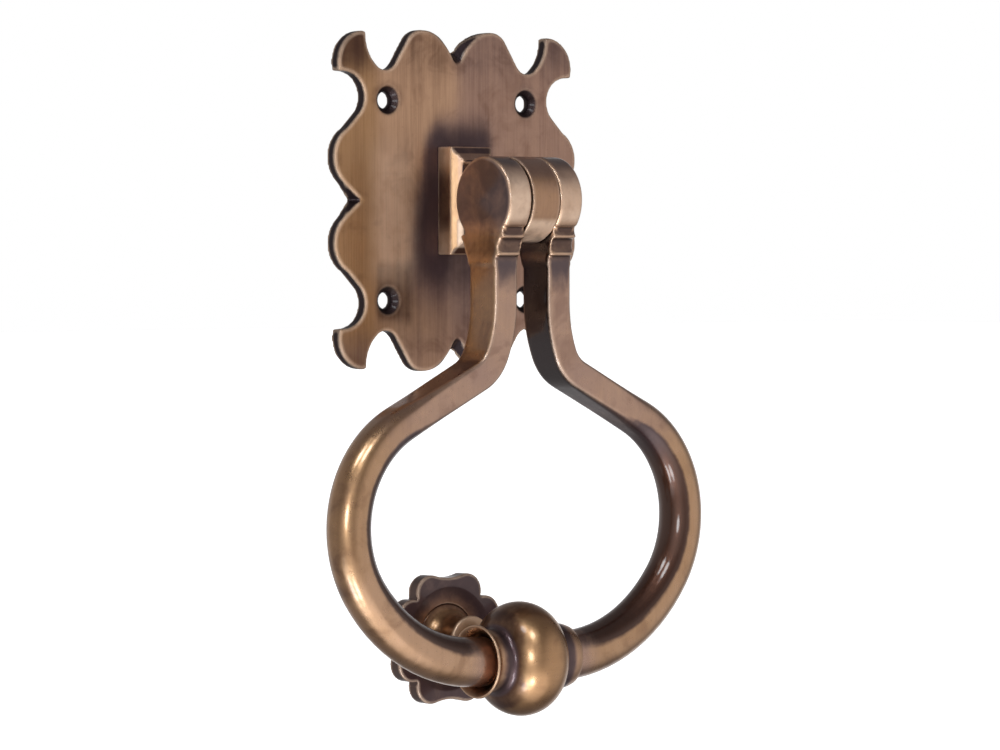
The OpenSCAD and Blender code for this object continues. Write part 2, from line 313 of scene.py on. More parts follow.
def bow_path():
    """Middle line of the right half of the bow as (x, z), from the ear to the bead, and the
    places along it where the lean begins, the bend ends and the ring begins."""
    end_x, end_z = SIDE_X + SIDE_R * math.sin(FALL), SIDE_Z + SIDE_R * math.cos(FALL)
    lean_x = LEAN_R * (1 - math.cos(LEAN))
    lean_z = LEAN_R * math.sin(LEAN)
    bend_x = BEND_R * (math.cos(LEAN) - math.cos(BEND))
    bend_z = BEND_R * (math.sin(BEND) - math.sin(LEAN))
    start_z = end_z + (end_x - ARM_X - lean_x - bend_x) * math.tan(FALL) + lean_z + bend_z
    centre = (ARM_X + lean_x + BEND_R * math.cos(LEAN), start_z - lean_z + BEND_R * math.sin(LEAN))
    turn = math.degrees(LEAN)
    line = np.vstack([
        [[ARM_X, ARM_TOP]],
        arc(ARM_X + LEAN_R, start_z, LEAN_R, 180, 180 + turn),
        arc(*centre, BEND_R, 180 + turn, 180 + math.degrees(BEND)),
        arc(SIDE_X, SIDE_Z, SIDE_R, 90 - math.degrees(FALL), JOIN),
        arc(LOW_X, LOW_Z, LOW_R, JOIN, -90),
        [[CUP_X, BEAD_Z]],
    ])
    lean_start = ARM_TOP - start_z
    bend_end = lean_start + LEAN_R * LEAN + BEND_R * (BEND - LEAN)
    ring_start = bend_end + (end_x - ARM_X - lean_x - bend_x) / math.cos(FALL)
    spacing = 0.6
    return resampled(line, spacing), lean_start, bend_end, ring_start


def rounded_section(angles, half_w, half_t, corner):
    """Distance from the middle to the edge of a rounded rectangle, at each angle."""
    c, s = np.abs(np.cos(angles)), np.abs(np.sin(angles))
    side = half_w / np.maximum(c, 1e-9)
    top = half_t / np.maximum(s, 1e-9)
    inner_w, inner_t = half_w - corner, half_t - corner
    lean = c * inner_w + s * inner_t
    rest = np.maximum(lean**2 - inner_w**2 - inner_t**2 + corner**2, 0)
    round_part = lean + np.sqrt(rest)
    return np.where(side * s <= inner_t, side, np.where(top * c <= inner_w, top, round_part))


def bow_bar(name):
    """The arm, shoulder and ring of the right half as one closed tube."""
    line, lean_start, bend_end, ring_start = bow_path()
    heading = headings(line)
    run = run_along(line)
    length = run[-1]
    # Places along the bar, with half its width, half its thickness and its corners' radius
    sections = np.array([
        (0, ARM_HALF_W, ARM_HALF_T, ARM_CORNER),
        (lean_start, ARM_HALF_W, ARM_HALF_T, ARM_CORNER),
        (bend_end, 4.25, 6.0, 1.2),
        (bend_end + 6, 4.3, 6.0, 1.5),
        (ring_start - 10, 4.45, 6.0, 2.2),
        (ring_start, 5.2, 6.2, 4.4),
        (ring_start + 24, 6.3, 6.4, 6.3),
        (ring_start + 50, 6.4, 6.45, 6.4),
        (length - 30, 6.8, 6.8, 6.8),
        (length - 6, 7.3, 7.3, 7.3),
        (length, 7.3, 7.3, 7.3),
    ])
    blend = 15
    half_w, half_t, corner = (
        averaged(np.interp(run, sections[:, 0], column), blend) for column in sections[:, 1:].T
    )
    around = 96
    angles = np.linspace(0, 2 * math.pi, around, endpoint=False)
    middle_y = ARM_Y + (PIVOT_Y - ARM_Y) * smoothstep(run, lean_start, ring_start)
    rings = []
    for k in range(len(line)):
        r = rounded_section(angles, half_w[k], half_t[k], min(corner[k], half_w[k], half_t[k]))
        out = r * np.cos(angles)
        rings.append(np.column_stack([line[k][0] - heading[k][1] * out,
                                      middle_y[k] + r * np.sin(angles),
                                      line[k][1] + heading[k][0] * out]))
    return skinned(name, rings)


def ear_outline():
    """Side view of the ear and neck, as (distance in front of the pivot, height)."""
    front = PIVOT_Y - ARM_Y + ARM_HALF_T
    back = front - 2 * ARM_HALF_T
    knuckle_drop, knuckle_back = 7.85, 229
    upper_hollow = arc(12.6, -9.0, 3.5, 160, 214, 9)
    lower_hollow = arc(11.0, -13.8, 3.6, 146, 214, 8)
    back_r = 22
    return np.vstack([
        arc(0, 0, KNUCKLE_R, knuckle_back, -math.degrees(math.asin(knuckle_drop / KNUCKLE_R)), 2),
        upper_hollow,
        [[9.6, -11.1], [8.1, -11.35]],
        lower_hollow,
        [[8.0, -16.1], [front + 0.1, -16.5], [front, -19.5], [back, -19.5]],
        arc(back - back_r, -24, back_r, 12, 38, 3),
    ])


def ear(name):
    """The ear and its neck, with rounded edges and the pin's blind bore."""
    outline = resampled(ear_outline(), 0.35, closed=True)
    before, after = np.roll(outline, 1, axis=0), np.roll(outline, -1, axis=0)
    along = after - before
    normal = np.column_stack([along[:, 1], -along[:, 0]])
    normal /= np.linalg.norm(normal, axis=1)[:, None]
    area = np.sum(before[:, 0] * outline[:, 1] - outline[:, 0] * before[:, 1])
    normal *= 1 if area > 0 else -1
    # Each edge is a quarter round, as distances in from the outline and in from the flat side
    thick, edge_r = 8.6, 1.1
    layers = []
    for turn in np.radians([0, 22, 45, 68, 90]):
        layers.append((edge_r * (1 - math.sin(turn)), edge_r * (1 - math.cos(turn))))
    flare = 0.65 * smoothstep(-outline[:, 1], 7.5, 16.5)
    inner_flare = 0.25 * smoothstep(-outline[:, 1], 12.5, 16.5)
    rows = []
    for inset, depth in layers:
        rows.append((inset, EAR_X + depth + inner_flare))
    for inset, depth in reversed(layers):
        rows.append((inset, EAR_X + thick - depth + flare))
    rings = []
    for inset, x in rows:
        flat = outline - normal * inset
        rings.append(np.column_stack([x, PIVOT_Y - flat[:, 0], flat[:, 1]]))
    return cut(skinned(name, rings), bore(PIN_R, 0, PIN_END, 48, (0, PIVOT_Y, 0), "X"))


def bow(name, side):
    """One half of the bow: side is 1 for the right and -1 for the left."""
    bar = bow_bar("bar")
    bar = cut(bar, bore(DOWEL_R, 0, DOWEL_HALF_L, 48, (0, PIVOT_Y, BEAD_Z), "X"))
    behind_bar = 20
    bar = cut(bar, bore(LOCK_R, behind_bar, LOCK_END, 24, (LOCK_X, 0, BEAD_Z), "Y"))
    obj = fused(joined(name, [bar, ear("ear")]), 0.4, 7)
    if side < 0:
        obj.data.transform(Matrix.Scale(-1, 4, Vector((1, 0, 0))))
        obj.data.flip_normals()
    return obj


# ---------------------------------------------------------------- bead, rosette and stud


def bead():
    """The turned bead: a bulb with a flared neck on its left and a plain collar on its right,
    each with a cup for the bar."""
    # The bulb is one arc, from edge to edge over its widest place
    edge_r, half_l = 10.7, 9.2
    arc_r = (half_l**2 + (BULB_R - edge_r) ** 2) / (2 * (BULB_R - edge_r))
    edge = math.degrees(math.asin(half_l / arc_r))
    bulb = arc(0, BULB_R - arc_r, arc_r, 90 + edge, 90 - edge, 1.5)

    # Both necks are drawn to the right, from the bulb's edge over the rim to the cup's floor
    rim_x, rim_r, plain_r, mouth_r, cup_r = BEAD_HALF_L, 10.75, 9.15, 10.1, 8.3
    floor = [[CUP_X, cup_r], [CUP_X, DOWEL_R]]
    cove = arc(11.2, 11.2, 2.0, 202, 270, 6)
    flare = arc(13.6, 13.4, 4.2, 270, 300, 4)
    flared = np.vstack([
        cove,
        flare,
        arc(rim_x - 0.5, rim_r - 0.35, 0.35, 130, 60, 20),
        arc(rim_x - 0.3, rim_r - 0.35, 0.3, 50, 0, 25),
        [[rim_x, mouth_r + 0.15], [rim_x - 0.15, mouth_r], [rim_x - 0.8, 9.4]],
        [[rim_x - 2.2, cup_r + 0.15], [rim_x - 2.5, cup_r]],
        floor,
    ])
    plain = np.vstack([
        [[9.35, 10.2], [9.7, 9.85]],
        arc(10.4, 9.75, 0.3, 180, 90, 30),
        [[11.5, 10.04], [12.8, 9.95], [14.2, 9.75], [15.4, 9.5]],
        arc(rim_x - 0.5, plain_r - 0.5, 0.5, 75, 0, 15),
        [[rim_x - 0.1, plain_r - 0.62], [rim_x - 0.5, cup_r]],
        floor,
    ])
    left = flared[::-1] * (-1, 1)
    return lathe("striker_bead_turned", np.vstack([left, bulb, plain, left[:1]]), 160,
                 (0, PIVOT_Y, BEAD_Z), "X")


def stud():
    """The turned stud, with its flared foot, flat face and tapped hole."""
    bolt_r, bolt_l = 2.1, 10.0
    pitch, thread_depth, lead_in = 0.8, 0.28, 0.6
    thread = []
    for k in range(int(bolt_l / pitch) - 1):
        y = bolt_l - lead_in - pitch * k
        thread += [(y, bolt_r), (y - pitch / 2, bolt_r + thread_depth)]
    hole = [(bolt_l, 0.0), (bolt_l, bolt_r), *thread, (0.0, bolt_r + 0.3)]

    spigot_r, seat, flush, foot_r, neck_r, sweep_l = 4.0, 2.4, 3.35, 10.2, 6.3, 5.2
    foot = [(0.0, spigot_r), (seat, spigot_r), (seat, foot_r), (flush, foot_r)]
    sweep = [(flush + sweep_l * t**1.7, foot_r - (foot_r - neck_r) * (1 - (1 - t) ** 1.9))
             for t in np.linspace(0, 1, 16)[1:]]
    head = [(STUD_H - 3.0, 6.6), (STUD_H - 1.7, 7.3), (STUD_H - 0.7, 7.4),
            (STUD_H - 0.2, 7.25), (STUD_H, 6.9), (STUD_H, 0.0)]
    profile = hole + foot + sweep + head
    return lathe("strike_stud_turned", profile, 112, (STUD_X, 0, STUD_Z), "Y")


# ---------------------------------------------------------------- marks of age, painted shade and painted highlights

# Each cast piece carries these marks, from 0 to 1 at every vertex: where its brass is golden or
# mauve, how tarnished it is or how deep its painted shade, where sooty grime or painted shade
# darkens it, and where it is rubbed bright or carries a painted highlight.
MARKS = ("gold", "mauve", "tarnish_and_shade", "soot_and_shade", "wear_and_highlight")


class Surface:
    """Places and normals of a piece's vertices, in millimetres, and the marks made on them."""

    def __init__(self, obj):
        self.mesh = obj.data
        count = len(self.mesh.vertices)
        flat = np.empty(count * 3)
        self.mesh.vertices.foreach_get("co", flat)
        self.x, self.y, self.z = flat.reshape(-1, 3).T / MM
        self.mesh.vertices.foreach_get("normal", flat)
        self.nx, self.ny, self.nz = flat.reshape(-1, 3).T.copy()
        self.front = -self.ny
        self.marks = {name: np.zeros(count) for name in MARKS}

    def curvature(self, rounds=5):
        """How sharply the surface bends at each vertex, per millimetre: above 0 on an edge
        that stands out, below 0 in a hollow."""
        ends = np.empty(len(self.mesh.edges) * 2, int)
        self.mesh.edges.foreach_get("vertices", ends)
        a, b = ends.reshape(-1, 2).T
        place = np.column_stack([self.x, self.y, self.z])
        normal = np.column_stack([self.nx, self.ny, self.nz])
        step = place[b] - place[a]
        length2 = np.maximum(np.sum(step**2, axis=1), 1e-6)
        at_a = -np.sum(normal[a] * step, axis=1) / length2
        at_b = np.sum(normal[b] * step, axis=1) / length2
        count = len(self.x)
        near = np.bincount(a, minlength=count) + np.bincount(b, minlength=count)
        near = np.maximum(near, 1)
        bend = (np.bincount(a, at_a, count) + np.bincount(b, at_b, count)) / near * 2
        for _ in range(rounds):
            around = np.bincount(a, bend[b], count) + np.bincount(b, bend[a], count)
            bend = (bend + around / near) / 2
        return bend

    def add(self, mark, amount):
        """Lays a mark over what is there already."""
        had = self.marks[mark]
        self.marks[mark] = 1 - (1 - had) * (1 - np.clip(amount, 0, 1))

    def wipe(self, mark, amount):
        """Takes a share of a mark away."""
        self.marks[mark] = self.marks[mark] * (1 - np.clip(amount, 0, 1))

    def keep(self):
        """Writes the marks to the mesh, where the material reads them."""
        for name, values in self.marks.items():
            kept = self.mesh.attributes.new(name, "FLOAT", "POINT")
            kept.data.foreach_set("value", values.astype(np.float32))


def between(v, low, high, soft):
    """1 between two places, fading to 0 over a soft distance outside them."""
    return smoothstep(v, low - soft, low) * smoothstep(-v, -high - soft, -high)


def spot(u, v, u0, v0, r, soft):
    """1 within a radius of a place, fading to 0 over a soft distance outside it."""
    return 1 - smoothstep(np.hypot(u - u0, v - v0), r, r + soft)


def mark_plate(obj):
    """Golden at the left and at the corners, mauve at the right and below, dark along the top, with
    a painted shadow of the block round its foot over some tarnished brass, painted shade in the
    holes and on the sides and back, a painted highlight left of the foot, and edges rubbed bright
    and partly painted as highlights."""
    s = Surface(obj)
    bend = s.curvature()
    face = smoothstep(s.front, 0.6, 0.9)
    # Painted shade on the plate's sides and back
    s.add("soot_and_shade", 1 - face)
    s.add("gold", 0.95 * (1 - smoothstep(s.x, -36, -24)))
    s.add("gold", 0.6 * smoothstep(np.hypot(s.x, s.z), 52, 60))
    s.add("mauve", 0.75 * smoothstep(s.x, -10, 6))
    s.add("mauve", 0.5 * smoothstep(-s.z, 30, 46))
    # Mostly a painted shadow of the block round its foot, with some tarnished brass in it
    widening = 1.0 + 3.0 * smoothstep(-s.z, -14, 16)
    left_edge = -FOOT_HALF_W
    left_band = between(s.x, left_edge - widening, left_edge + 1, 8) * between(s.z, -14, 10, 14)
    above = between(s.x, left_edge + 2, 8, 11) * between(s.z, FOOT_HALF_H - 3, FOOT_HALF_H, 15)
    below = between(s.x, left_edge - 2, 6, 15) * between(s.z, -20, -FOOT_HALF_H + 5, 27)
    s.add("tarnish_and_shade", 0.76 * left_band)
    s.add("tarnish_and_shade", 0.8 * above)
    s.add("tarnish_and_shade", 0.55 * smoothstep(s.z, 33, 44) * smoothstep(-s.x, 27, 38))
    s.add("tarnish_and_shade", 0.2 * smoothstep(s.z, 36, 46) * smoothstep(s.x, 27, 38))
    s.add("tarnish_and_shade", 0.36 * smoothstep(s.z, 20, 44))
    s.add("tarnish_and_shade", 0.2 * smoothstep(-s.z, 28, 42) * between(s.x, -22, 8, 8))
    s.add("tarnish_and_shade", 0.6 * below)
    s.add("mauve", left_band)
    s.add("mauve", above)
    s.add("mauve", below)
    s.add("tarnish_and_shade", 0.3 * smoothstep(-s.z, 33, 42) * smoothstep(-s.x, 27, 36))
    # A painted highlight on the front, left of the foot
    s.add("wear_and_highlight", 0.42 * face * between(s.x, -27, -22, 10) * between(s.z, -16, 8, 14))
    # Painted shade in each countersink, and a ring of tarnished brass round it
    for x in (-HOLE_X, HOLE_X):
        for z in (-HOLE_Z, HOLE_Z):
            s.add("soot_and_shade", 0.9 * spot(s.x, s.z, x, z, SINK_R - 0.5, 0.5))
            s.add("tarnish_and_shade", 0.2 * spot(s.x, s.z, x, z, SINK_R, 2.5))
    runs = between(s.x, -HOLE_X - 3, -HOLE_X + 7, 4) * between(s.z, -HOLE_Z - 4, -HOLE_Z + 9, 6)
    s.add("tarnish_and_shade", 0.5 * runs)
    # Edges rubbed bright, and partly a painted highlight along them
    s.add("wear_and_highlight", 0.55 * smoothstep(bend, 0.12, 0.4))
    s.wipe("soot_and_shade", 0.6 * smoothstep(bend, 0.15, 0.45) * smoothstep(s.front, 0.2, 0.6))
    s.keep()


def mark_block(obj):
    """Golden, rubbed on the lug's front, dark on the bevel, underneath and in the hollow where the
    lug starts, with painted highlights at both ends of the foot's left side and a darker middle
    between them, painted shade under the lug and on its flanks, and edges rubbed bright and partly
    painted as highlights."""
    s = Surface(obj)
    bend = s.curvature()
    foot = smoothstep(s.y, -LUG_ROOT - 0.8, -LUG_ROOT - 0.2)
    s.add("gold", 0.8)
    # On the foot's left side only: painted highlights at both ends, darker between them
    side = smoothstep(-s.nx, 0.8, 0.95) * foot
    s.add("mauve", 0.2 * side)
    ends = smoothstep(np.abs(s.z), 5, 15)
    s.add("tarnish_and_shade", 0.6 * side * (1 - ends))
    s.add("wear_and_highlight", 0.4 * side * ends)
    bevel = foot * smoothstep(s.front, 0.6, 0.85)
    s.add("tarnish_and_shade", 0.82 * bevel * (1 - 0.6 * smoothstep(-s.x, 11.5, 15)))
    top = smoothstep(s.nz, 0.4, 0.7)
    s.add("mauve", 0.7 * top)
    s.wipe("gold", top)
    under = smoothstep(-s.nz, 0.72, 0.95)
    s.add("tarnish_and_shade", 0.8 * under)
    s.add("tarnish_and_shade", 0.9 * smoothstep(-bend, 0.08, 0.35))
    s.add("soot_and_shade", 0.6 * smoothstep(-bend, 0.25, 0.6))
    lug = 1 - foot
    s.add("mauve", 0.5 * lug)
    s.add("wear_and_highlight", lug * between(s.z, -13, -7, 2) * smoothstep(s.front, 0.1, 0.4))
    # Painted shade under the lug and on its flanks, between the ears
    s.add("soot_and_shade", 0.9 * lug * smoothstep(-s.nz, 0.3, 0.8) * smoothstep(s.y, -29, -24))
    flank = lug * smoothstep(np.abs(s.nx), 0.8, 0.95)
    s.add("soot_and_shade", 0.8 * flank)
    # Edges rubbed bright, and partly a painted highlight along them
    s.add("wear_and_highlight", 0.35 * smoothstep(bend, 0.14, 0.45))
    s.keep()


def bow_places(s, side):
    """Where each vertex lies along the middle line of its half, how far its normal points
    away from the middle of the ring, and the places that bow_path gives."""
    line, *stations = bow_path()
    heading = headings(line)
    place = np.column_stack([side * s.x, s.z]).astype(np.float32)
    nearest = np.empty(len(place), int)
    chunk = 20000
    for start in range(0, len(place), chunk):
        part = place[start:start + chunk]
        apart = part[:, None, :] - line[None, :, :]
        nearest[start:start + chunk] = np.argmin(apart[..., 0] ** 2 + apart[..., 1] ** 2, axis=1)
    run = run_along(line)
    outward = -heading[nearest, 1] * side * s.nx + heading[nearest, 0] * s.nz
    return run[nearest], outward, stations


def mark_bow(obj, side):
    """The ring golden outside and dark inside, and paler low on the left half as a painted
    highlight, the shoulder mauve, the arm golden outside with painted shade on its inner side and
    on its front under the ear, the ear's outer sides dark between edges rubbed bright and partly
    painted as highlights, and painted shade on the ear's inner side and underside."""
    s = Surface(obj)
    bend = s.curvature()
    run, out, (_, bend_end, ring_start) = bow_places(s, side)
    ring = smoothstep(run, ring_start - 14, ring_start + 4)
    below_neck = smoothstep(-s.z, 14.5, 19)
    arm = (1 - smoothstep(run, bend_end - 2, bend_end + 10)) * below_neck
    head = 1 - below_neck
    forward = -(s.y - PIVOT_Y)
    end = smoothstep(run, run.max() - 16, run.max() - 4)

    # The left half is paler low down, a painted highlight
    pale = smoothstep(-s.z, 92, 118) * (side < 0)
    s.add("gold", ring * (1 - 0.4 * pale) * (0.7 + 0.3 * smoothstep(out, 0.1, 0.8)))
    s.add("tarnish_and_shade", ring * (1 - 0.7 * end) * smoothstep(-out, 0.08, 0.46))
    shoulder = smoothstep(run, bend_end - 8, bend_end)
    shoulder = shoulder * (1 - smoothstep(run, ring_start, ring_start + 26))
    s.add("mauve", 0.6 * shoulder)
    s.add("tarnish_and_shade", 0.75 * shoulder * (1 - ring) * smoothstep(-out, 0.5, 0.8))
    s.add("mauve", 0.8 * end)
    s.add("tarnish_and_shade", 0.12 * smoothstep(run, run.max() - 26, run.max() - 8))
    if side < 0:
        low_side = between(s.z, -112, -84, 12) * smoothstep(out, 0.45, 0.85)
        s.add("tarnish_and_shade", 0.35 * low_side)

    s.add("mauve", 0.6 * arm)
    # Painted shade on the arm's inner side, facing the other arm
    inner = (1 - smoothstep(run, bend_end, bend_end + 16)) * below_neck
    s.add("soot_and_shade", inner * smoothstep(-out, 0.5, 0.8))
    # Painted shade on the arm's front under the ear, fading down the arm
    fade = 1 - smoothstep(-s.z, 17, 32)
    s.add("tarnish_and_shade", 0.85 * arm * fade * smoothstep(s.front, 0.4, 0.8))
    outer = arm * smoothstep(out, 0.7, 0.9)
    s.add("gold", outer)
    s.wipe("mauve", 0.6 * outer)
    s.add("tarnish_and_shade", 0.3 * outer)

    cheek = head * smoothstep(side * s.nx, 0.8, 0.95)
    upper = cheek * (1 - smoothstep(-s.z, 4, 13))
    lower = cheek * smoothstep(-s.z, 5, 14)
    s.add("mauve", upper)
    s.add("tarnish_and_shade", 0.68 * upper)
    s.add("gold", lower)
    s.add("tarnish_and_shade", 0.58 * lower)
    # Painted shade on the ear's inner side, facing the lug
    inner_cheek = head * smoothstep(-side * s.nx, 0.8, 0.95)
    s.add("soot_and_shade", 0.97 * inner_cheek)
    if side < 0:
        s.add("tarnish_and_shade", 0.55 * cheek * spot(forward, s.z, 3.6, 5.2, 2.6, 1.6))
        rim = np.abs(np.hypot(forward - 1.0, s.z + 2.5) - 2.6)
        s.add("tarnish_and_shade", 0.25 * cheek * (1 - smoothstep(rim, 0.2, 0.7)))
    hollow = smoothstep(-bend, 0.1, 0.3) * smoothstep(s.front, -0.2, 0.3)
    s.add("tarnish_and_shade", 0.95 * head * hollow)
    # Painted shade on the neck's front below the hollows, and under the ear
    neck_front = head * smoothstep(-s.z, 8, 9.5) * smoothstep(s.front, 0.3, 0.7)
    s.add("tarnish_and_shade", 0.7 * neck_front)
    under = head * smoothstep(-s.nz, 0.6, 0.9) * smoothstep(-s.z, 8, 10)
    s.add("soot_and_shade", 0.5 * under)
    # Edges rubbed bright, and partly a painted highlight along them
    edge = smoothstep(bend, 0.14, 0.45) * (1 - ring)
    s.add("wear_and_highlight", edge * (0.3 - 0.08 * head))
    rolled = head * smoothstep(np.hypot(s.ny, s.nz), 0.8, 0.95)
    rubbed = 0.85 if side < 0 else 0.85 - 0.35 * smoothstep(s.z, -5, -1)
    s.add("wear_and_highlight", rubbed * rolled * smoothstep(s.front, 0.3, 0.8) * smoothstep(s.z, -8, -5))
    s.add("mauve", 0.8 * rolled * smoothstep(s.nz, 0.1, 0.6))
    s.add("tarnish_and_shade", 0.75 * rolled * smoothstep(s.nz, 0.45, 0.95))
    s.wipe("wear_and_highlight", 0.8 * rolled * smoothstep(s.nz, 0.4, 0.85))
    s.wipe("tarnish_and_shade", 0.6 * edge)
    s.wipe("soot_and_shade", 0.4 * edge)
    s.keep()


def mark_bead(obj):
    """Golden, with painted shade at its top and bottom, darker in the coves beside the bulb, and
    lightly rubbed on the rims."""
    s = Surface(obj)
    r = np.hypot(s.y - PIVOT_Y, s.z - BEAD_Z)
    along = np.abs(s.x)
    neck = smoothstep(along, 10.6, 11.6)
    s.add("gold", 0.95 * (1 - neck))
    s.add("gold", 0.6 * neck)
    s.add("mauve", 0.35 * neck)
    s.add("tarnish_and_shade", 0.08 * neck)
    spread = 1.5 * smoothstep(np.abs(s.z - BEAD_Z), 3, 10)
    s.add("tarnish_and_shade", 0.62 * between(along, 9.2 - spread, 10.6, 2.2))
    cove = between(-s.x, 9.9, 11.9, 1.2) + between(s.x, 9.8, 12.6, 2.2)
    s.add("mauve", 0.75 * cove)
    s.add("tarnish_and_shade", 0.7 * cove)
    # Painted shade at the top and bottom
    s.add("tarnish_and_shade", 0.5 * smoothstep(s.z - BEAD_Z, 8, 15))
    s.add("tarnish_and_shade", 0.4 * smoothstep(BEAD_Z - s.z, 9, 16))
    outward = (s.ny * (s.y - PIVOT_Y) + s.nz * (s.z - BEAD_Z)) / np.maximum(r, 1)
    cup = smoothstep(-outward, -0.2, 0.2) * (along > CUP_X - 0.3) * (1 - smoothstep(r, 9.6, 10.0))
    s.add("gold", 0.8 * cup)
    s.add("soot_and_shade", 0.12 * cup)
    rim = smoothstep(along, BEAD_HALF_L - 0.9, BEAD_HALF_L - 0.4) * smoothstep(r, 9.9, 10.3)
    s.add("wear_and_highlight", 0.3 * rim)
    s.add("wear_and_highlight", 0.12 * smoothstep(s.x, BEAD_HALF_L - 1.0, BEAD_HALF_L - 0.5))
    s.wipe("mauve", 0.6 * rim)
    s.wipe("soot_and_shade", rim)
    s.keep()


def mark_rosette(obj):
    """Dark mauve with a golden middle, painted shade on its sides and back, and rubbed on the
    lobes' edges.
    """
    s = Surface(obj)
    bend = s.curvature()
    r = np.hypot(s.x - STUD_X, s.z - STUD_Z)
    face = smoothstep(s.front, 0.55, 0.85)
    s.add("mauve", 1.0)
    s.add("tarnish_and_shade", face * (0.78 - 0.55 * (1 - smoothstep(r, 9.5, 15))))
    s.add("gold", 0.6 * (1 - smoothstep(r, 9.5, 14)))
    s.wipe("mauve", 0.5 * (1 - smoothstep(r, 9.5, 14)))
    # Painted shade on the sides and back
    s.add("soot_and_shade", 0.75 * (1 - face))
    outer = smoothstep(r, 15, 16.5) * smoothstep(bend, 0.12, 0.4)
    s.add("wear_and_highlight", 0.5 * outer)
    s.wipe("soot_and_shade", 0.5 * outer)
    s.keep()


def age_stud(obj):
    """Golden, darker towards the foot, with the face's edge rubbed bright."""
    s = Surface(obj)
    head = smoothstep(-s.y, STUD_H - 1.2, STUD_H - 0.4)
    s.add("gold", 0.9)
    s.add("tarnish_and_shade", 0.4 * (1 - head))
    r = np.hypot(s.x - STUD_X, s.z - STUD_Z)
    s.add("tarnish_and_shade", 0.55 * (1 - head) * smoothstep(r, 7.5, 10))
    s.add("wear_and_highlight", 0.6 * head * between(r, 6.7, 7.3, 0.3))
    s.add("soot_and_shade", 0.8 * (1 - smoothstep(-s.y, 2.6, 3.2)))
    s.keep()


# ---------------------------------------------------------------- materials

# Colours of the brass: three clean tones, two of tarnished patina and painted shade, sooty grime
# and painted shade, rubbed metal and painted highlights, and brown stains
TAN = (0.58, 0.365, 0.235, 1)
GOLD = (0.47, 0.275, 0.14, 1)
MAUVE = (0.41, 0.26, 0.205, 1)
PURPLE = (0.097, 0.061, 0.066, 1)
UMBER = (0.085, 0.037, 0.024, 1)
SOOT_AND_SHADE = (0.035, 0.023, 0.026, 1)
RUBBED_AND_HIGHLIGHT = (0.90, 0.69, 0.53, 1)
BROWN = (0.19, 0.085, 0.045, 1)


class Nodes:
    """Short ways to build a node tree."""

    def __init__(self, tree):
        self.tree = tree

    def add(self, kind, inputs=None, **settings):
        """A new node, with its inputs linked or set and its settings made."""
        node = self.tree.nodes.new(kind)
        for key, value in settings.items():
            setattr(node, key, value)
        for key, value in (inputs or {}).items():
            self.feed(node.inputs[key], value)
        return node

    def feed(self, socket, value):
        """Links a socket to a socket, or sets it to a constant."""
        if isinstance(value, bpy.types.NodeSocket):
            self.tree.links.new(value, socket)
        else:
            socket.default_value = value

    def math(self, operation, a, b):
        """The result of a sum on two values."""
        return self.add("ShaderNodeMath", {0: a, 1: b}, operation=operation).outputs[0]

    def off_middle(self, value, share):
        """How far a noise is from its middle of 0.5, times a share."""
        return self.math("MULTIPLY", self.math("SUBTRACT", value, 0.5), share)

    def ramp(self, value, low, high, to_low=0.0, to_high=1.0):
        """A soft rise between two values."""
        return self.add("ShaderNodeMapRange", {0: value, 1: low, 2: high, 3: to_low, 4: to_high},
                        interpolation_type="SMOOTHSTEP").outputs[0]

    def mix(self, factor, a, b):
        """A colour between two."""
        return self.add("ShaderNodeMix", {0: factor, 6: a, 7: b}, data_type="RGBA").outputs[2]

    def noise(self, place, scale, detail, roughness, distortion=0.0):
        """A cloudy pattern from 0 to 1."""
        inputs = {"Vector": place, "Scale": scale, "Detail": detail, "Roughness": roughness,
                  "Distortion": distortion}
        return self.add("ShaderNodeTexNoise", inputs).outputs[0]

    def stretched(self, place, stretch, shift=(0, 0, 0)):
        """Texture coordinates scaled along each axis and shifted."""
        return self.add("ShaderNodeMapping", {"Vector": place, "Scale": stretch,
                                              "Location": shift}).outputs[0]

    def mark(self, name):
        """One of the marks the vertices carry: age, painted shade and painted highlights."""
        return self.add("ShaderNodeAttribute", attribute_name=name).outputs["Fac"]


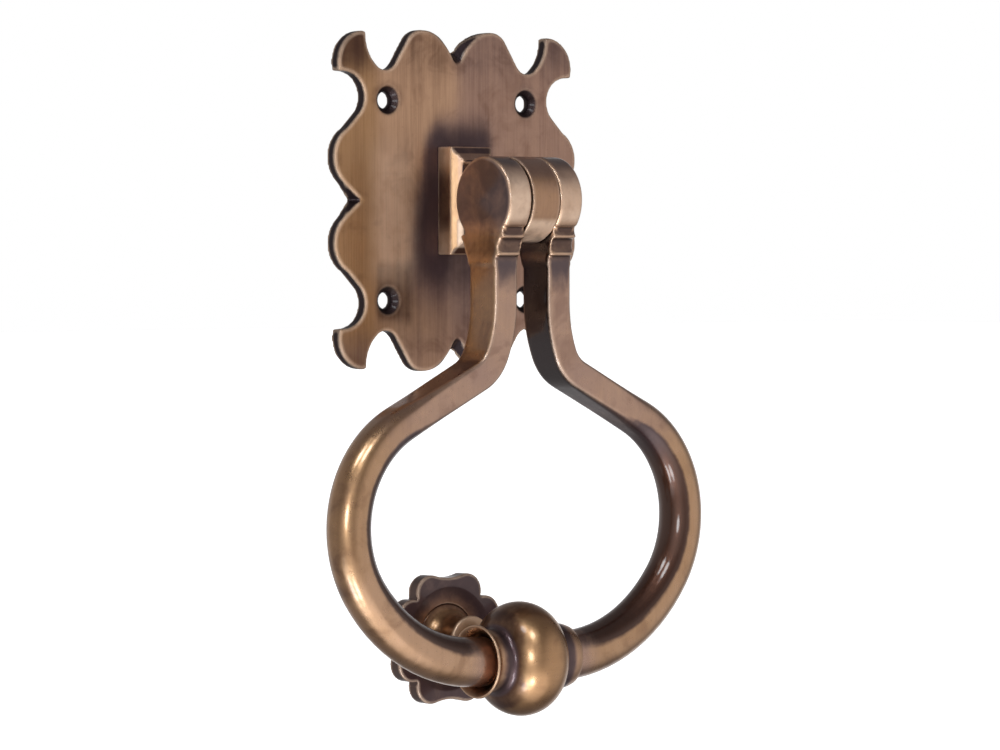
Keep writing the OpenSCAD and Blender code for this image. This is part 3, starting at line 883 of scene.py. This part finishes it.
def marked_brass(name, seed, coat, gloss, satin, streaks, grain, broken):
    """Brass with a dark patina, painted shade and painted highlights. coat is how much lacquer is
    over it and gloss that lacquer's index of refraction, satin is the metal's own roughness,
    streaks how strongly brush lines show, grain how the pattern is squeezed along each axis, and
    broken how far the borders of the patina and painted shade wander."""
    mat = bpy.data.materials.new(name)
    mat.use_nodes = True
    n = Nodes(mat.node_tree)
    shader = mat.node_tree.nodes["Principled BSDF"]
    place = n.stretched(n.add("ShaderNodeTexCoord").outputs["Object"], (1, 1, 1),
                        (seed * 0.37, seed * 0.61, seed * 0.23))
    cloud = n.noise(place, 95.0, 3.0, 0.6, 0.6)
    patch = n.noise(place, 260.0, 4.0, 0.6, 0.3)
    speck = n.noise(place, 1500.0, 2.0, 0.6)
    brush = n.noise(n.stretched(place, grain), 1350.0, 3.0, 0.6)
    broad = n.noise(n.stretched(place, grain), 260.0, 2.0, 0.5)

    wander = n.math("ADD", n.off_middle(cloud, broken * 1.6), n.off_middle(patch, broken * 0.8))
    wander = n.math("ADD", wander, n.off_middle(broad, streaks * 0.7))

    def broken_mark(mark, low, high):
        value = n.mark(mark)
        amount = n.math("MULTIPLY", wander, n.ramp(value, 0.02, 0.3))
        return n.ramp(n.math("ADD", value, amount), low, high)

    colour = n.mix(broken_mark("gold", 0.1, 0.95), TAN, GOLD)
    colour = n.mix(broken_mark("mauve", 0.1, 0.95), colour, MAUVE)
    mottle = n.ramp(n.math("ADD", cloud, n.math("MULTIPLY", wander, 0.3)), 0.5, 0.72, 0.0, 0.34)
    colour = n.mix(mottle, colour, BROWN)
    line = n.ramp(n.math("ADD", brush, n.off_middle(broad, 0.8)), 0.42, 0.72, 0.0, 0.34 * streaks)
    colour = n.mix(line, colour, BROWN)
    # Tarnished patina and painted shade, umber where the brass is golden and purple where mauve
    tarnish_and_shade = broken_mark("tarnish_and_shade", 0.12, 0.85)
    patina = n.mix(n.ramp(n.mark("mauve"), 0.1, 0.6), UMBER, PURPLE)
    colour = n.mix(tarnish_and_shade, colour, patina)
    # Sooty grime and painted shade
    colour = n.mix(n.mark("soot_and_shade"), colour, SOOT_AND_SHADE)
    dust = n.ramp(speck, 0.62, 0.78, 0.0, 0.3)
    colour = n.mix(dust, colour, PURPLE)
    # Rubbed metal and painted highlights
    rub_and_highlight = n.math("MULTIPLY", n.mark("wear_and_highlight"), n.ramp(patch, 0.3, 0.62, 0.6, 1.0))
    colour = n.mix(rub_and_highlight, colour, RUBBED_AND_HIGHLIGHT)
    n.feed(shader.inputs["Base Color"], colour)
    shader.inputs["Metallic"].default_value = 1

    rough = n.math("ADD", satin, n.off_middle(patch, 0.22))
    rough = n.math("ADD", rough, n.math("MULTIPLY", tarnish_and_shade, 0.10))
    rough = n.math("ADD", rough, n.ramp(n.mark("wear_and_highlight"), 0.02, 0.3, 0.0, 0.17))
    rough = n.math("ADD", rough, n.off_middle(brush, 0.3 * streaks))
    n.feed(shader.inputs["Roughness"], n.math("MAXIMUM", rough, 0.08))
    shader.inputs["Coat Weight"].default_value = coat
    shader.inputs["Coat Roughness"].default_value = 0.09
    shader.inputs["Coat IOR"].default_value = gloss

    height = n.math("ADD", n.math("MULTIPLY", speck, 0.35), n.math("MULTIPLY", patch, 0.9))
    height = n.math("ADD", height, n.math("MULTIPLY", brush, 0.9 * streaks))
    bump = n.add("ShaderNodeBump", {"Strength": 0.5, "Distance": 0.00006, "Height": height})
    n.feed(shader.inputs["Normal"], bump.outputs[0])
    return mat


def turned_metal(name, colour, worn, roughness, axis):
    """A small turned or drawn part, with fine rings round its axis and a little grime."""
    mat = bpy.data.materials.new(name)
    mat.use_nodes = True
    n = Nodes(mat.node_tree)
    shader = mat.node_tree.nodes["Principled BSDF"]
    place = n.add("ShaderNodeTexCoord").outputs["Object"]
    rings = n.add("ShaderNodeTexWave", {"Vector": place, "Scale": 900.0, "Distortion": 1.5,
                                        "Detail": 2.0}, bands_direction=axis).outputs["Fac"]
    grime = n.noise(place, 420.0, 4.0, 0.6)
    shade = n.mix(n.ramp(grime, 0.45, 0.75, 0.0, 0.8), colour, worn)
    n.feed(shader.inputs["Base Color"], shade)
    shader.inputs["Metallic"].default_value = 1
    n.feed(shader.inputs["Roughness"], n.math("ADD", roughness, n.off_middle(grime, 0.3)))
    bump = n.add("ShaderNodeBump", {"Strength": 0.4, "Distance": 0.00003, "Height": rings})
    n.feed(shader.inputs["Normal"], bump.outputs[0])
    return mat


# Brush lines that run upright, or along the bead
UPRIGHT = (1, 1, 0.035)
ALONG = (0.05, 1, 1)

# Each brass shows the marks on its piece, painted shade and highlights among them on all but the
# stud
PLATE_BRASS = marked_brass("plate_patina_shade_and_highlight", 1, coat=0.2, gloss=1.5, satin=0.52,
                         streaks=0.55, grain=UPRIGHT, broken=0.12)
BLOCK_BRASS = marked_brass("block_patina_shade_and_highlight", 2, coat=0.3, gloss=1.5, satin=0.36,
                         streaks=0.35, grain=UPRIGHT, broken=0.25)
BOW_BRASS = marked_brass("bow_patina_shade_and_highlight", 3, coat=0.75, gloss=1.6, satin=0.30,
                       streaks=0.25, grain=UPRIGHT, broken=0.36)
BEAD_BRASS = marked_brass("bead_patina_and_shade", 4, coat=0.4, gloss=1.6, satin=0.30,
                        streaks=0.25, grain=ALONG, broken=0.35)
STRIKE_BRASS = marked_brass("strike_patina_and_shade", 5, coat=0.6, gloss=1.5, satin=0.33,
                          streaks=0.2, grain=UPRIGHT, broken=0.4)
STUD_BRASS = marked_brass("stud_patina", 6, coat=0.3, gloss=1.5, satin=0.30,
                        streaks=0.2, grain=UPRIGHT, broken=0.4)
SCREW_BRASS = turned_metal("screw_brass", (0.50, 0.32, 0.15, 1), (0.16, 0.09, 0.05, 1), 0.34, "Y")
PIN_STEEL = turned_metal("pin_steel", (0.50, 0.49, 0.47, 1), (0.22, 0.17, 0.14, 1), 0.30, "X")

# ---------------------------------------------------------------- pieces

# The cast pieces, each with its grid in millimetres and its rounds of softening
plate = fused(cad_copy("backplate", "backplate_cast"), 0.45, 5)
block = fused(cad_copy("hinge_block", "hinge_block_cast"), 0.35, 3)
right = bow("bow_right_cast", 1)
left = bow("bow_left_cast", -1)
ball = bead()
rosette = fused(cad_copy("strike_rosette", "strike_rosette_cast"), 0.3, 4)
knob = stud()

mark_plate(plate)
mark_block(block)
mark_bow(right, 1)
mark_bow(left, -1)
mark_bead(ball)
mark_rosette(rosette)
age_stud(knob)

for piece, body, node, slot, material in [
    (plate, "base", "backplate", "plate_brass", PLATE_BRASS),
    (block, "base", "hinge_block", "block_brass", BLOCK_BRASS),
    (right, "bow", "bow_right", "bow_brass", BOW_BRASS),
    (left, "bow", "bow_left", "bow_brass", BOW_BRASS),
    (ball, "bow", "striker_bead", "bead_brass", BEAD_BRASS),
    (rosette, "base", "strike_rosette", "strike_brass", STRIKE_BRASS),
    (knob, "base", "strike_stud", "stud_brass", STUD_BRASS),
]:
    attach(piece, body)
    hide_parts(node)
    piece.data.materials.append(material)

for node, material in [
    ("block_screw_upper", SCREW_BRASS), ("block_screw_lower", SCREW_BRASS),
    ("pivot_pin", PIN_STEEL), ("bead_dowel", PIN_STEEL),
    ("lock_pin_left", PIN_STEEL), ("lock_pin_right", PIN_STEEL),
]:
    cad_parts[node].data.materials.clear()
    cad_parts[node].data.materials.append(material)

# ---------------------------------------------------------------- camera, floor and light


def towards(azimuth, elevation):
    """A direction from the front (-Y) turned towards +X, and up, in degrees."""
    turn, rise = math.radians(azimuth), math.radians(elevation)
    return (math.sin(turn) * math.cos(rise), -math.cos(turn) * math.cos(rise), math.sin(rise))


# Where the camera stands, in degrees and metres, and what it looks at
CAMERA_AZIMUTH, CAMERA_ELEVATION, CAMERA_ROLL = -39.851, 1.48, 0.084
CAMERA_DISTANCE = 1.323
CAMERA_TARGET = (0.019446, 0, -0.052132)
LENS, SENSOR = 158.2, 36

scene = bpy.context.scene
camera = bpy.data.objects.new("camera", bpy.data.cameras.new("camera"))
scene.collection.objects.link(camera)
scene.camera = camera
camera.data.lens = LENS
camera.data.sensor_width = SENSOR
camera.data.clip_end = 20
back = Vector(towards(CAMERA_AZIMUTH, CAMERA_ELEVATION))
camera.location = Vector(CAMERA_TARGET) + back * CAMERA_DISTANCE
aim = (-back).to_track_quat("-Z", "Y")
roll = Matrix.Rotation(math.radians(-CAMERA_ROLL), 4, "Z").to_quaternion()
camera.rotation_euler = (aim @ roll).to_euler()

# Soft cards and lamps round the object: azimuth, elevation, radius of the full brightness and
# radius where it ends (degrees), strength and colour
WARM, NEUTRAL, COOL = (1.0, 0.96, 0.92), (0.97, 0.98, 1.0), (0.95, 1.02, 1.06)
STUDIO = [
    (35, -8, 15, 62, 0.56, WARM),
    (-50, 6, 10, 42, 0.50, WARM),
    (-25, -52, 12, 42, 1.10, WARM),
    (-75, -40, 8, 24, 1.2, COOL),
    (125, -8, 12, 38, 0.55, NEUTRAL),
    (170, 0, 15, 45, 0.25, NEUTRAL),
    (-135, -5, 10, 65, 0.24, WARM),
    (-40, 47, 4, 9, 10.0, COOL),
    (-52, 6, 4, 9, 10.0, COOL),
    (-46, -40, 4, 9, 9.0, COOL),
    (-74, -44, 5, 11, 8.0, COOL),
    (-76, 52, 4, 9, 10.0, COOL),
]
# Light from everywhere else
DIM = (0.185, 0.168, 0.165, 1)

# The cards light the object, and the camera itself sees plain white
world = bpy.data.worlds.new("world")
scene.world = world
world.use_nodes = True
sky = Nodes(world.node_tree)
ray = sky.add("ShaderNodeTexCoord").outputs["Generated"]
glow = DIM
for azimuth, elevation, inner, outer, strength, tint in STUDIO:
    facing = sky.add("ShaderNodeVectorMath", {0: ray, 1: towards(azimuth, elevation)},
                     operation="DOT_PRODUCT").outputs["Value"]
    amount = sky.ramp(facing, math.cos(math.radians(outer)), math.cos(math.radians(inner)),
                      0.0, strength)
    part = sky.add("ShaderNodeMix", {0: 1.0, 6: (*tint, 1), 7: amount}, data_type="RGBA",
                   blend_type="MULTIPLY").outputs[2]
    glow = sky.add("ShaderNodeMix", {0: 1.0, 6: glow, 7: part}, data_type="RGBA",
                   blend_type="ADD").outputs[2]
lit = world.node_tree.nodes["Background"]
sky.feed(lit.inputs["Color"], glow)
backdrop = sky.add("ShaderNodeBackground", {"Color": (1, 1, 1, 1), "Strength": 1.0})
seen = sky.add("ShaderNodeLightPath").outputs["Is Camera Ray"]
chosen = sky.add("ShaderNodeMixShader", {0: seen, 1: lit.outputs[0], 2: backdrop.outputs[0]})
world_out = world.node_tree.nodes["World Output"]
world.node_tree.links.new(chosen.outputs[0], world_out.inputs["Surface"])
scene.view_settings.view_transform = "Standard"

# A white floor under the object
FLOOR_DROP = 0.06
FLOOR_HALF_W = 9000
corners = [(x * FLOOR_HALF_W, y * FLOOR_HALF_W, 0) for x, y in ((-1, -1), (1, -1), (1, 1), (-1, 1))]
floor = new_object("floor", corners, [(0, 1, 2, 3)])
floor.location.z = cad_box[0][2] - FLOOR_DROP
pale = bpy.data.materials.new("pale_floor")
pale.use_nodes = True
pale_shader = pale.node_tree.nodes["Principled BSDF"]
pale_shader.inputs["Base Color"].default_value = (0.85, 0.85, 0.85, 1)
pale_shader.inputs["Roughness"].default_value = 0.9
pale_shader.inputs["Emission Color"].default_value = (1, 1, 1, 1)
pale_shader.inputs["Emission Strength"].default_value = 0.85
floor.data.materials.append(pale)
floor.visible_glossy = False
floor.visible_shadow = False
